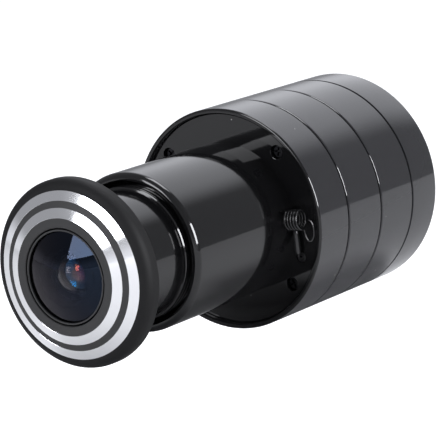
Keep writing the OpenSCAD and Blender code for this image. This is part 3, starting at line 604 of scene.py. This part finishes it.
inner_floor = on_cone(inner_seat) - trim_depth
bezel_section = (
    [(bezel_bore_r, thread_from), (bezel_r, thread_from), (bezel_r, flange_back)]
    + rounded(cone_r + flange_round - back_round, flange_back + back_round, back_round, -90, 0, 4)
    + rounded(cone_r, cone_h - flange_round, flange_round, 0, 90, 12)[:-1]
    + [(cone_r, cone_h - trim_edge), (cone_r - trim_edge, cone_h - trim_depth)]
    + [(outer_seat, cone_h - trim_depth), (outer_seat, on_cone(outer_seat) - seat_ease)]
    + [(outer_seat - seat_ease, on_cone(outer_seat - seat_ease))]
    + [(inner_seat + seat_ease, on_cone(inner_seat + seat_ease))]
    + [(inner_seat, on_cone(inner_seat) - seat_ease)]
    + [(inner_seat, inner_floor), (flat_r, inner_floor), (flat_r, face_h - face_ease)]
    + [(flat_r - face_ease, face_h), (window_r + window_ease, face_h), (window_r, face_h - window_ease)]
    + [(window_r, bezel_floor), (bezel_bore_r, bezel_floor)])
front_bezel = turned("bezel", bezel_section, steps=256)
ends_in_r, ends_out_r, ends_tip_r = 9.5, 10.6, 10.12
thread_start = thread_from + 0.02
thread_ends = turned("thread_ends", [
    (ends_in_r, thread_start), (ends_tip_r, thread_start), (ends_out_r, thread_from + 0.5),
    (ends_out_r, thread_to - 0.2), (ends_tip_r, thread_to), (ends_in_r, thread_to)], steps=128)
thread = with_tool(thread_form("thread"), thread_ends, "INTERSECT")
with_tool(front_bezel, thread, "UNION")
smoothed(front_bezel)


def off_axis(add, place):
    """The distance of a place from the axis, and its place along the axis."""
    parts = add("ShaderNodeSeparateXYZ", Vector=place)
    across = add("ShaderNodeCombineXYZ", X=parts.outputs["X"], Y=parts.outputs["Z"])
    length = add("ShaderNodeVectorMath", {"operation": "LENGTH"}, Vector=across.outputs[0])
    return length.outputs["Value"], parts.outputs["Y"]


def satin_anodised(name, colour, rough, shine=0.5, rings=0.10):
    """Black anodising on turned metal: an even grain, faint turning rings and slightly rubbed patches."""
    material, shader, place, add, link = finish_start(name)
    radius, depth = off_axis(add, place)
    lathe = add("ShaderNodeCombineXYZ", X=radius, Y=depth)
    marks = noise(add, lathe.outputs[0], 9000.0, 3.0)
    patches = noise(add, place, 160.0, 5.0)
    grain = noise(add, place, 12000.0, 2.0)
    link(between(add, patches, colour, tuple(c * 1.4 for c in colour)), "Base Color")
    link(spread(add, patches, *rough), "Roughness")
    fine = bumped(add, grain, 0.08, 0.00001)
    turning = add("ShaderNodeBump", Height=marks, Strength=rings, Distance=0.00001, Normal=fine)
    link(turning.outputs["Normal"], "Normal")
    shader.inputs["Specular IOR Level"].default_value = shine
    return material


bezel_face = satin_anodised("bezel_face", (0.0115, 0.0115, 0.0122), (0.55, 0.66))
on_body(front_bezel, "bezel", "satin_black_metal", bezel_face, "front_bezel")
# Painted shade: the flange's outer round gets a darker, less shiny copy of the anodising, so the side lamp's
# highlight shows less there.
bezel_edge_painted_shade = satin_anodised("bezel_edge_painted_shade", (0.0035, 0.0035, 0.004), (0.58, 0.66), shine=0.2)
second_finish(front_bezel, bezel_edge_painted_shade, lambda r, h, normal: r > cone_r and h < cone_h)
bezel_tube = satin_anodised("bezel_tube", (0.005, 0.005, 0.0055), (0.07, 0.11))
second_finish(front_bezel, bezel_tube, lambda r, h, normal: h < flange_back)

# Trim rings
# Two rings of polished aluminium pressed into the grooves of the coned face and turned flush with it.
# Their lathe marks run round the axis.


def polished_metal(name, colour=(0.86, 0.865, 0.88), rough=(0.07, 0.14)):
    """Polished aluminium: mirror bright, with fine marks round the axis and slightly hazy patches."""
    material, shader, place, add, link = finish_start(name)
    lathe = add("ShaderNodeCombineXYZ", X=off_axis(add, place)[0])
    marks = noise(add, lathe.outputs[0], 14000.0, 4.0)
    haze = noise(add, place, 240.0, 5.0)
    link(between(add, haze, colour, tuple(c * 0.93 for c in colour)), "Base Color")
    link(spread(add, haze, *rough), "Roughness")
    link(bumped(add, marks, 0.015, 0.00001), "Normal")
    shader.inputs["Metallic"].default_value = 1.0
    return material


ring_polish = polished_metal("ring_polish")
for ring_name, node, inner, outer in (
        ("outer_trim", "outer_trim_ring", outer_seat, cone_r),
        ("inner_trim", "inner_trim_ring", flat_r, inner_seat)):
    floor_h = on_cone(outer) - trim_depth
    ring = turned(ring_name, [
        (inner, floor_h), (outer, floor_h), (outer, on_cone(outer) - trim_edge),
        (outer - trim_edge, on_cone(outer - trim_edge)), (inner + trim_edge, on_cone(inner + trim_edge)),
        (inner, on_cone(inner) - trim_edge)], steps=256)
    on_body(ring, "bezel", "polished_ring", ring_polish, node)

# Lens
# A wide-angle lens: a domed front glass over a small inner dome, coated so that they reflect purple
# and red, in a black barrel. A retaining ring with two spanner slots holds the front glass.
glass_r, glass_edge, glass_seat = 7.0, 40.6, 38.2
dome_r, middle_r, dome_steps = 16.57, 12.3, 32
hollow_r, hollow_curve = 3.75, 4.3
inner_back, rear_back, element_ease = 34.5, 28.5, 0.05
barrel_back, shoulder_h, barrel_front = 28, 36.2, 40.7
barrel_tail_r, barrel_head_r = 6, 7.2
cup_r, cup_floor, step_h = 7.05, 38.18, 38.05
filter_r, rear_seat_r, stop_r, inner_seat_r = 4.25, 3.05, 2.6, 3.45
rear_seat_end = 30.404
ring_in_r, ring_front, slot_floor = 6.92, 41, 40.87


def dome(r_edge, h_edge, radius, steps=20):
    """Points of a dome from its edge in to the axis."""
    centre = h_edge - math.sqrt(radius * radius - r_edge * r_edge)
    start = math.asin(r_edge / radius)
    angles = [start * (1 - i / steps) for i in range(steps + 1)]
    return [(radius * math.sin(a), centre + radius * math.cos(a)) for a in angles]


def coated_glass(name, film, tint=(0.92, 0.92, 0.96), index=1.6, rough=(0.0, 0.03), edge=None,
                 clear_r=3.2, dark_r=4.5):
    """Lens glass with a thin coating, a little handling haze, a faint tint and, if given, a darker edge."""
    material, shader, place, add, link = finish_start(name)
    haze = noise(add, place, 300.0, 6.0)
    link(spread(add, haze, *rough, 0.45, 0.8), "Roughness")
    if edge:
        share = spread(add, off_axis(add, place)[0], 0, 1, clear_r * MM, dark_r * MM)
        link(between(add, share, tint, edge), "Base Color")
    else:
        link(between(add, haze, tint, tuple(c * 0.97 for c in tint)), "Base Color")
    shader.inputs["Transmission Weight"].default_value = 1.0
    shader.inputs["IOR"].default_value = index
    shader.inputs["Thin Film Thickness"].default_value = film
    shader.inputs["Thin Film IOR"].default_value = 1.38
    return material


hollow = dome(hollow_r, glass_seat, hollow_curve)
glass_apex = dome(glass_r, glass_edge, dome_r)[-1][1]
glass_sag = glass_apex - glass_edge
flattening = ((glass_r ** 2 / (middle_r * glass_sag) - 1) ** 2 - 1) * (middle_r / glass_r) ** 2
front_dome = [(r, glass_apex - r * r / (middle_r * (1 + math.sqrt(1 + flattening * (r / middle_r) ** 2))))
              for r in [glass_r * (1 - i / dome_steps) for i in range(dome_steps + 1)]]
front_glass = turned("front_glass", (
    [(0, hollow[-1][1])] + hollow[::-1][1:] + [(glass_r - 0.1, glass_seat), (glass_r, glass_seat + 0.1)]
    + front_dome[:-1] + [(0, glass_apex)]), steps=128)
front_coating = coated_glass("front_coating", 126.0, index=1.5, edge=(0.006, 0.006, 0.007))
on_body(front_glass, "lens_module", "coated_glass", front_coating, "lens_front_glass")
edge_ink = satin_anodised("edge_ink", (0.004, 0.004, 0.005), (0.6, 0.7), shine=0.0)
second_finish(front_glass, edge_ink,
              lambda r, h, normal: r > hollow_r and (h < glass_seat + 0.06 or normal.y > -0.2))
inner_coating = coated_glass("inner_coating", 275.0, index=1.85, rough=(0.07, 0.1))
rear_coating = coated_glass("rear_coating", 190.0, rough=(0.07, 0.1))
for element_name, node, coating, back, radius, edge_h, curve in (
        ("inner_glass", "lens_inner_element", inner_coating, inner_back, 3.4, 36.6, 5.5),
        ("rear_glass", "lens_rear_element", rear_coating, rear_back, 3, 29.6, 6)):
    bulge = dome(radius, edge_h, curve)
    element = turned(element_name, (
        [(0, back), (radius - element_ease, back), (radius, back + element_ease)]
        + bulge[:-1] + [(0, bulge[-1][1])]), steps=96)
    on_body(element, "lens_module", "coated_glass", coating, node)
lens_black = satin_anodised("lens_black", (0.006, 0.006, 0.007), (0.5, 0.65), shine=0.15, rings=0.2)
lens_barrel = turned("barrel", [
    (filter_r, barrel_back), (barrel_tail_r, barrel_back), (barrel_tail_r, shoulder_h),
    (barrel_head_r - 0.1, shoulder_h), (barrel_head_r, shoulder_h + 0.1), (barrel_head_r, barrel_front - 0.05),
    (barrel_head_r - 0.05, barrel_front), (cup_r, barrel_front), (cup_r, cup_floor), (3.8, cup_floor),
    (3.7, step_h), (3.6, step_h), (inner_seat_r, step_h - 0.1), (inner_seat_r, inner_back),
    (stop_r, inner_back), (stop_r, rear_seat_end), (rear_seat_r, rear_seat_end), (rear_seat_r, rear_back),
    (filter_r, rear_back)], steps=128)
on_body(lens_barrel, "lens_module", "satin_black_metal", lens_black, "lens_barrel")
retaining_ring = turned("retaining_ring", [
    (ring_in_r, barrel_front), (barrel_head_r, barrel_front), (barrel_head_r, ring_front - 0.05),
    (barrel_head_r - 0.05, ring_front), (ring_in_r + 0.08, ring_front), (ring_in_r, ring_front - 0.08)],
    steps=128)
for x in (cup_r, -cup_r):
    with_tool(retaining_ring, block("spanner_slot", 0.8, 0.5, slot_floor, ring_front + 0.2, x), "DIFFERENCE")
smoothed(retaining_ring)
ring_black = satin_anodised("ring_black", (0.014, 0.014, 0.015), (0.4, 0.5))
on_body(retaining_ring, "lens_module", "satin_black_metal", ring_black, "lens_retaining_ring")
finished("infrared_filter", coated_glass("filter_coating", 260.0, tint=(0.75, 0.3, 0.34), index=1.52))

# Lens carrier and sensor
# A moulded carrier that holds the lens and the sensor's board inside the bezel's tube, a ring that keeps it
# there, and a key tube whose two lugs slide in the sleeve's keyways so that the picture stays upright.
finished("carrier_ring", bare_aluminium)
finished("lens_carrier", black_plastic)
finished("key_tube", black_plastic)
finished("sensor_board", green_board)
finished("image_sensor", chip_plastic)
finished("sensor_screws", dark_screws)
finished("sensor_plug", pale_plastic)

# Sensor ribbon
# A flat cable of amber film with copper tracks along it, from the main board's socket to the sensor's plug.
# It lies in loose folds inside the sleeve.
ribbon_w, ribbon_t = 6, 0.3
ribbon_path = [Vector(point) for point in (
    (0, 21.4), (0, 6.4), (3, 3.4), (-3, 0.4), (3, -2.6), (-3, -5.6), (3, -8.6), (0, -11.6), (0, -14.6))]
fold_r, fold_steps = 0.9, 8


def soft_corner(before, here, after, reach, steps):
    """Points of a soft bend at a corner, which starts and ends at a distance from it."""
    start = here + (before - here).normalized() * reach
    end = here + (after - here).normalized() * reach
    return [start.lerp(here, i / steps).lerp(here.lerp(end, i / steps), i / steps) for i in range(steps + 1)]


ribbon_run = [ribbon_path[0], (ribbon_path[0] + ribbon_path[1]) / 2]
for before, here, after in zip(ribbon_path, ribbon_path[1:], ribbon_path[2:]):
    ribbon_run += soft_corner(before, here, after, fold_r, fold_steps)
ribbon_run.append(ribbon_path[-1])
ribbon = drawn("ribbon", [Vector((-ribbon_w / 2 * MM, -h * MM, up * MM)) for up, h in ribbon_run])
bpy.ops.mesh.extrude_region_move(TRANSFORM_OT_translate={"value": (ribbon_w * MM, 0, 0)})
bpy.ops.object.mode_set(mode="OBJECT")
bpy.ops.object.modifier_add(type="SOLIDIFY")
ribbon.modifiers[-1].thickness = ribbon_t * MM
ribbon.modifiers[-1].offset = 0
bpy.ops.object.modifier_apply(modifier=ribbon.modifiers[-1].name)
smoothed(ribbon, 40)
amber_film, shader, place, add, link = finish_start("amber_film")
tracks = add("ShaderNodeTexWave", {"bands_direction": "X"}, Vector=place, Scale=640.0).outputs["Fac"]
cloud = noise(add, place, 300.0, 4.0)
copper = spread(add, tracks, 0, 1, 0.45, 0.55)
link(between(add, copper, (0.36, 0.15, 0.025), (0.55, 0.28, 0.07)), "Base Color")
link(spread(add, cloud, 0.2, 0.36), "Roughness")
link(bumped(add, tracks, 0.2, 0.00003), "Normal")
ribbon.data.materials.clear()
ribbon.data.materials.append(amber_film)
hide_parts("sensor_ribbon")
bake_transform(ribbon)

# Socket board
# A small board on the rear cover's posts that carries the power socket and the reset switch. The socket is a
# folded shell of tinned steel with a plastic tongue and five contacts in it.
finished("socket_board", green_board)
finished("socket_screws", dark_screws)
finished("reset_switch", worked_metal("switch_can", (0.4, 0.4, 0.42), (0.3, 0.42)))
socket_up = -4.5
socket_half_w, socket_half_h, socket_slant = 3.75, 1.4, 0.9
socket_sheet = 0.25
socket_back, socket_mouth, socket_depth = -30.2, -34.7, 3.5
tongue_w, tongue_t, tongue_tip, tongue_root = 4.6, 0.7, -34.2, -31.2
contact_w, contact_t, contact_tip, contact_root = 0.34, 0.1, -34.05, -31.25
contact_pitch, contact_up = 0.65, socket_up + 0.38


def socket_outline(grow, corner=0.3, steps=4):
    """The socket's outline, grown by a distance: a flat top, and lower corners cut on a slant."""
    w, t = socket_half_w + grow, socket_half_h + grow
    corners = [Vector(point) for point in (
        (w, t), (-w, t), (-w, -t + socket_slant), (-w + socket_slant, -t), (w - socket_slant, -t),
        (w, -t + socket_slant))]
    out = []
    for i, here in enumerate(corners):
        out += soft_corner(corners[i - 1], here, corners[(i + 1) % len(corners)], corner, steps)
    return out


def socket_block(name, grow, start, end):
    """A solid with the socket's outline between two distances in front of the rim."""
    wire = [Vector((x * MM, -start * MM, (socket_up + up) * MM)) for x, up in socket_outline(grow)]
    piece = drawn(name, wire, closed=True)
    bpy.ops.mesh.edge_face_add()
    bpy.ops.mesh.extrude_region_move(TRANSFORM_OT_translate={"value": (0, -(end - start) * MM, 0)})
    bpy.ops.mesh.select_all(action="SELECT")
    bpy.ops.mesh.normals_make_consistent(inside=False)
    bpy.ops.object.mode_set(mode="OBJECT")
    return piece


def tip_eased(piece, tip, width):
    """Rounds off the edges at a block's rear tip."""
    bpy.ops.object.mode_set(mode="EDIT")
    pick(lambda co: co.y > (-tip - 0.05) * MM)
    edges_broken(width)
    smoothed(piece)


power_shell = socket_block("power_shell", 0, socket_mouth, socket_back)
socket_hollow = socket_block("mouth", -socket_sheet, socket_mouth - past, socket_mouth + socket_depth)
with_tool(power_shell, socket_hollow, "DIFFERENCE")
smoothed(power_shell)
on_body(power_shell, "housing", "plated_steel", tinned_steel, "power_socket")
tongue = block("socket_tongue", tongue_w, tongue_t, tongue_tip, tongue_root, 0, socket_up)
tip_eased(tongue, tongue_tip, 0.12)
on_body(tongue, "housing", "black_plastic", black_plastic, "power_tongue")
first_contact = block("power_contact_1", contact_w, contact_t, contact_tip, contact_root, -2 * contact_pitch,
                      contact_up)
tip_eased(first_contact, contact_tip, 0.03)
contacts = [first_contact] + [copied(first_contact, f"power_contact_{number}") for number in (2, 3, 4, 5)]
for place_in_row, contact in enumerate(contacts):
    moved(contact, contact_pitch * place_in_row)
    on_body(contact, "housing", "brass_contact", contact_brass, "power_tongue")

# Reset button
# A moulded cap in the rear cover's hole, kept in by its collar. A pin pushes it against the switch behind it.
button_up = 6.5
cap_r, collar_r, collar_back, collar_front = 1.6, 2.3, -33.05, -32.45
button = moved(turned("button_cap", [
    (0, -35.02), (0.9, -35.06), (1.35, -35.15), (1.5, -35.12), (cap_r, -35.02), (cap_r, collar_back),
    (collar_r, collar_back), (collar_r, collar_front), (0, collar_front)], steps=64), 0, 0, button_up)
button_plastic = moulded_plastic("button_plastic", (0.03, 0.03, 0.032), (0.38, 0.5))
on_body(button, "button", "black_plastic", button_plastic, "reset_button")

# Rear cover
# The turned cap that closes the back, screwed into the shell over a rubber seal ring and lacquered like it.
# It has an opening for the power socket, a hole for the reset button and two posts inside for the board.
cover_back, cover_inside, cover_round = -35.3, -33.1, 0.8
seam_h, seam_r, seam_ease = -27.7, 17.65, 0.06
spigot_r, spigot_in_r, spigot_end, spigot_ease = 16.15, 14.65, -23.3, 0.1
seal_r, seal_from, seal_to = 15.1, -26.1, -24.9
post_x, post_r, post_pilot_r, post_end = 10.5, 1.7, 0.55, -30.2
button_hole_r, opening_gap, opening_end, opening_ease = 1.65, 0.2, -32, 0.12
opening_half_w, opening_half_h = 4.1, 1.7
rear_cover = turned("cover", (
    [(0, cover_back), (12, cover_back)]
    + rounded(body_r - cover_round, cover_back + cover_round, cover_round, -90, 0, 10)
    + [(body_r, seam_h - seam_ease), (body_r - seam_ease, seam_h), (seam_r, seam_h), (seam_r, shell_back)]
    + [(spigot_r, shell_back), (spigot_r, seal_from), (seal_r, seal_from)]
    + [(seal_r, seal_to), (spigot_r, seal_to)]
    + [(spigot_r, spigot_end - spigot_ease), (spigot_r - spigot_ease, spigot_end), (spigot_in_r, spigot_end)]
    + [(spigot_in_r, cover_inside), (0, cover_inside)]), steps=256)
for x in (post_x, -post_x):
    with_tool(rear_cover, rod("post", post_r, cover_inside - 0.1, post_end, x), "UNION")
    with_tool(rear_cover, rod("post_pilot", post_pilot_r, cover_inside + 0.05, post_end + 1.2, x, sides=24),
              "DIFFERENCE")
socket_opening = socket_block("socket_opening", opening_gap, cover_back - past, opening_end)
with_tool(rear_cover, socket_opening, "DIFFERENCE")
button_hole = rod("button_hole", button_hole_r, cover_back - past, opening_end, 0, button_up)
with_tool(rear_cover, button_hole, "DIFFERENCE")
facets_joined(rear_cover)
pick(lambda co: abs(co.y + cover_back * MM) < on_face and (
    abs(math.hypot(co.x / MM, co.z / MM - button_up) - button_hole_r) < on_edge
    or abs(co.x / MM) < opening_half_w and abs(co.z / MM - socket_up) < opening_half_h))
edges_broken(opening_ease, loop_slide=False)
smoothed(rear_cover, flat_shading)
on_body(rear_cover, "housing", "gloss_black_metal", black_lacquer("cover_lacquer", 0.029), "rear_cover")
finished("seal_ring", moulded_plastic("seal_rubber", (0.012, 0.012, 0.012), (0.55, 0.7), 3000.0))

# Studio
# A wide pale floor, and a white table under the object that only its reflections see, with a painted shadow in
# one place, so that the object stands on white as in the photograph. The room is bright behind and dim in
# front.
floor_z, floor_half, floor_glow = -0.12, 4, 0.58
table_z, table_shade = -0.0182, (-0.011, -0.022)
key_way = (-0.2, 0.8, 0.56)
wall_light, low_light, key_light, seen_light = 0.37, 0.9, 1.65, 1.05


def white_sheet(name, corners, z, glow=0.0, shaded=None):
    """A white painted sheet through corners given as x and y in metres, at a height, with a glow of its own.
    Where shaded is given, a painted shadow darkens it most at that place and a little toward its left."""
    sheet = drawn(name, [Vector((x, y, z)) for x, y in corners], closed=True)
    bpy.ops.mesh.edge_face_add()
    bpy.ops.mesh.select_all(action="SELECT")
    bpy.ops.mesh.subdivide(number_cuts=3)
    bpy.ops.object.mode_set(mode="OBJECT")
    paint, shader, place, add, link = finish_start(name + "_paint")
    # Painted shadow: the base colour darkens near the given place and toward the left.
    if shaded:
        away = add("ShaderNodeVectorMath", {"operation": "DISTANCE"}, Vector=place)
        fill(away.inputs[1], (*shaded, z))
        across = add("ShaderNodeSeparateXYZ", Vector=place).outputs["X"]
        light = combined(add, "MULTIPLY", spread(add, away.outputs["Value"], 0.2, 1, 0.008, 0.02),
                         spread(add, across, 0.8, 1, -0.045, -0.008))
        link(between(add, light, (0, 0, 0), (0.91, 0.91, 0.91)), "Base Color")
    else:
        link(between(add, noise(add, place, 6.0, 3.0), (0.90, 0.90, 0.90), (0.93, 0.93, 0.93)), "Base Color")
    shader.inputs["Roughness"].default_value = 0.9
    shader.inputs["Specular IOR Level"].default_value = 0.0
    shader.inputs["Emission Color"].default_value = (1, 1, 1, 1)
    shader.inputs["Emission Strength"].default_value = glow
    sheet.data.materials.append(paint)
    return sheet


floor_corners = [(floor_half * x, floor_half * y) for x, y in ((1, 1), (-1, 1), (-1, -1), (1, -1))]
floor = white_sheet("floor", floor_corners, floor_z, glow=floor_glow)
floor.visible_glossy = floor.visible_transmission = False
table_corners = [(0.052, 0.30), (-0.9, 0.30), (-0.9, -0.9), (0.40, -0.9)]
table = white_sheet("table", table_corners, table_z, shaded=table_shade)
table.visible_camera = table.visible_diffuse = table.visible_shadow = False


def soft_box(name, location, facing, size, radiance):
    """A rectangular lamp that faces a direction and is as bright as the radiance says."""
    bpy.ops.object.select_all(action="DESELECT")
    bpy.ops.object.light_add(type="AREA", location=location)
    lamp = bpy.context.object
    lamp.name = name
    lamp.data.shape = "RECTANGLE"
    lamp.data.size, lamp.data.size_y = size
    lamp.data.color = (0.97, 0.98, 1.02)
    lamp.data.energy = radiance * math.pi * size[0] * size[1]
    lamp.rotation_euler = Vector(facing).to_track_quat("-Z", "Y").to_euler()
    return lamp


soft_box("front_box", (-0.1808, -0.7316, 0.355), (0.574, 0.819, 0), (0.324, 0.486), 8.0)
soft_box("top_box", (0.05, 0.25, 1.0), (-0.05, -0.25, -1), (0.5, 0.5), 7.0)
side_box = soft_box("side_box", (0.76, 0.0, 0.18), (-1, 0, -0.22), (0.45, 0.34), 22.0)
side_box.visible_diffuse = False

room = bpy.data.worlds.new("room")
bpy.context.scene.world = room
room.use_nodes = True
add = adder(room.node_tree)


def choose(share, first, second):
    """One brightness or another, by a share from 0 to 1."""
    node = add("ShaderNodeMix", {"data_type": "FLOAT"})
    for socket, value in zip((node.inputs[0], node.inputs[2], node.inputs[3]), (share, first, second)):
        fill(socket, value)
    return node.outputs[0]


way = add("ShaderNodeTexCoord").outputs["Generated"]
split = add("ShaderNodeSeparateXYZ", Vector=way)
toward_key = add("ShaderNodeVectorMath", {"operation": "DOT_PRODUCT"}, Vector=way)
fill(toward_key.inputs[1], key_way)
in_front = spread(add, split.outputs["Y"], 1.0, 0.0, -0.3, 0.1, "SMOOTHSTEP")
low_wall = spread(add, split.outputs["Z"], low_light, wall_light, 0.0, 0.14, "SMOOTHSTEP")
walls = choose(in_front, wall_light, low_wall)
near_key = spread(add, toward_key.outputs["Value"], 0.0, 1.0, 0.80, 0.96, "SMOOTHSTEP")
surroundings = choose(near_key, walls, key_light)
seen = add("ShaderNodeLightPath").outputs["Is Camera Ray"]
background = room.node_tree.nodes["Background"]
background.inputs["Color"].default_value = (0.955, 0.97, 1.03, 1)
fill(background.inputs["Strength"], choose(seen, surroundings, seen_light))
bpy.context.scene.view_settings.view_transform = "Standard"
